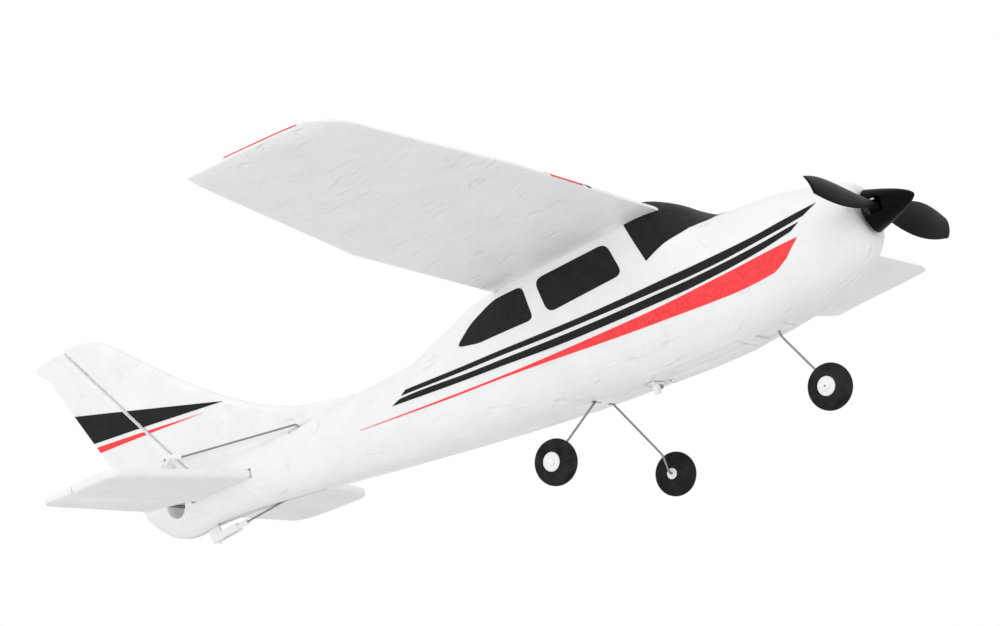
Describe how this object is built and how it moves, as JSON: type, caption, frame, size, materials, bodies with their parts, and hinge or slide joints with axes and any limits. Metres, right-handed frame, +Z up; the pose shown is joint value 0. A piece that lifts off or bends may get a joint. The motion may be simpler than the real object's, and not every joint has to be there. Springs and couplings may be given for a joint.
{
  "type": "rc foam airplane",
  "caption": "High-wing foam trainer aeroplane with geared nose propeller, tricycle wire undercarriage, working rudder and elevator linkages, and a belly battery hatch.",
  "frame": {"origin": "on the ground under the middle of the length, on the centreline", "axes": "+X forward to the spinner, +Y to the port wingtip, +Z up from the ground the wheels stand on"},
  "size_m": [0.47, 0.5, 0.1638],
  "materials": {
    "foam_white": "matte moulded bead foam",
    "film_black": "satin film with the foam's texture through it",
    "film_red": "satin film with the foam's texture through it",
    "carbon_tube": "satin",
    "plastic_white": "satin moulded",
    "plastic_black": "satin moulded",
    "tyre_black": "matte",
    "wire_steel": "drawn wire",
    "brass": "machined",
    "motor_can": "plated can",
    "circuit_green": "coated board",
    "servo_blue": "translucent moulded case",
    "battery_foil": "foil pouch",
    "lead_red": "silicone insulation",
    "lead_blue": "silicone insulation"
  },
  "bodies": {
    "airframe": {"fuselage_left": "foam_white", "fuselage_right": "foam_white", "wing": "foam_white", "wing_spar": "carbon_tube", "horizontal_stabilizer": "foam_white", "window_films": "film_black", "side_stripes": "film_black", "side_swooshes": "film_red", "wing_stripes": "film_black", "wing_swooshes": "film_red", "fin_stripes": "film_black", "fin_swooshes": "film_red", "firewall": "plastic_white", "gearbox_frame": "plastic_black", "gearbox_screws": "wire_steel", "shaft_bushings": "brass", "motor": "motor_can", "nose_gear_mount": "plastic_white", "nose_gear_wire": "wire_steel", "main_gear_mount": "plastic_white", "main_gear_wire": "wire_steel", "axle_caps": "plastic_white", "equipment_tray": "plastic_white", "receiver_board": "circuit_green", "rudder_servo": "servo_blue", "elevator_servo": "servo_blue", "battery": "battery_foil", "battery_lead": "lead_red", "motor_lead": "lead_blue", "hatch_latch_screw": "wire_steel"},
    "propeller": {"spur_gear": "plastic_white", "prop_shaft": "wire_steel", "propeller": "plastic_black", "spinner": "plastic_black", "prop_screw": "wire_steel"},
    "motor_rotor": {"motor_pinion": "brass"},
    "nose_wheel": {"nose_tyre": "tyre_black", "nose_hub": "plastic_white"},
    "left_wheel": {"left_tyre": "tyre_black", "left_hub": "plastic_white"},
    "right_wheel": {"right_tyre": "tyre_black", "right_hub": "plastic_white"},
    "rudder": {"rudder": "foam_white", "rudder_horn": "plastic_white", "rudder_stripes": "film_black", "rudder_swooshes": "film_red"},
    "elevator": {"elevator": "foam_white", "elevator_joiner": "wire_steel", "elevator_horn": "plastic_white"},
    "rudder_arm": {"rudder_servo_arm": "plastic_white"},
    "elevator_arm": {"elevator_servo_arm": "plastic_white"},
    "rudder_rod": {"rudder_pushrod": "wire_steel", "rudder_clevis": "plastic_white"},
    "elevator_rod": {"elevator_pushrod": "wire_steel", "elevator_clevis": "plastic_white"},
    "hatch": {"battery_hatch": "foam_white"},
    "latch": {"hatch_latch": "plastic_white"}
  },
  "joints": [
    {"name": "prop_spin", "type": "hinge", "parent": "airframe", "child": "propeller", "pos_m": [0.2195, 0, 0.0712], "axis": [1, 0, 0], "continuous": true},
    {"name": "motor_spin", "type": "hinge", "parent": "airframe", "child": "motor_rotor", "pos_m": [0.2045, 0, 0.05945], "axis": [1, 0, 0], "continuous": true},
    {"name": "rudder_hinge", "type": "hinge", "parent": "airframe", "child": "rudder", "pos_m": [-0.1645, 0, 0.093], "axis": [-0.606, 0, 0.7955], "range_deg": [-20, 20]},
    {"name": "elevator_hinge", "type": "hinge", "parent": "airframe", "child": "elevator", "pos_m": [-0.148, 0, 0.0667], "axis": [0, 1, 0], "range_deg": [-18, 18]},
    {"name": "rudder_arm_turn", "type": "hinge", "parent": "airframe", "child": "rudder_arm", "pos_m": [0.032, -0.01, 0.0787], "axis": [0, 1, 0], "range_deg": [-16, 16]},
    {"name": "rudder_rod_pivot", "type": "hinge", "parent": "rudder_arm", "child": "rudder_rod", "pos_m": [0.032, -0.01, 0.0692], "axis": [0, 1, 0], "range_deg": [-17, 17]},
    {"name": "elevator_arm_turn", "type": "hinge", "parent": "airframe", "child": "elevator_arm", "pos_m": [0.032, 0.0018, 0.0787], "axis": [0, 1, 0], "range_deg": [-32, 32]},
    {"name": "elevator_rod_pivot", "type": "hinge", "parent": "elevator_arm", "child": "elevator_rod", "pos_m": [0.032, 0.0018, 0.0667], "axis": [0, 1, 0], "range_deg": [-32, 32]},
    {"name": "left_wheel_spin", "type": "hinge", "parent": "airframe", "child": "left_wheel", "pos_m": [0.0718, 0.0474, 0.0098], "axis": [0, 1, 0], "continuous": true},
    {"name": "right_wheel_spin", "type": "hinge", "parent": "airframe", "child": "right_wheel", "pos_m": [0.0718, -0.0474, 0.0098], "axis": [0, 1, 0], "continuous": true},
    {"name": "nose_wheel_spin", "type": "hinge", "parent": "airframe", "child": "nose_wheel", "pos_m": [0.1769, 0, 0.0098], "axis": [0, 1, 0], "continuous": true},
    {"name": "hatch_hinge", "type": "hinge", "parent": "airframe", "child": "hatch", "pos_m": [0.147, 0, 0.0381], "axis": [0, -1, 0], "range_deg": [0, 70]},
    {"name": "latch_turn", "type": "hinge", "parent": "airframe", "child": "latch", "pos_m": [0.0995, 0.0032, 0.0376], "axis": [0, 0, 1], "range_deg": [0, 90]}
  ],
  "couplings": [
    {"joint": "motor_spin", "follows": "prop_spin", "ratio": -4.8},
    {"joint": "rudder_arm_turn", "follows": "rudder_hinge", "ratio": -0.7365},
    {"joint": "rudder_rod_pivot", "follows": "rudder_hinge", "ratio": 0.765},
    {"joint": "elevator_arm_turn", "follows": "elevator_hinge", "ratio": 1.67},
    {"joint": "elevator_rod_pivot", "follows": "elevator_hinge", "ratio": -1.685}
  ]
}
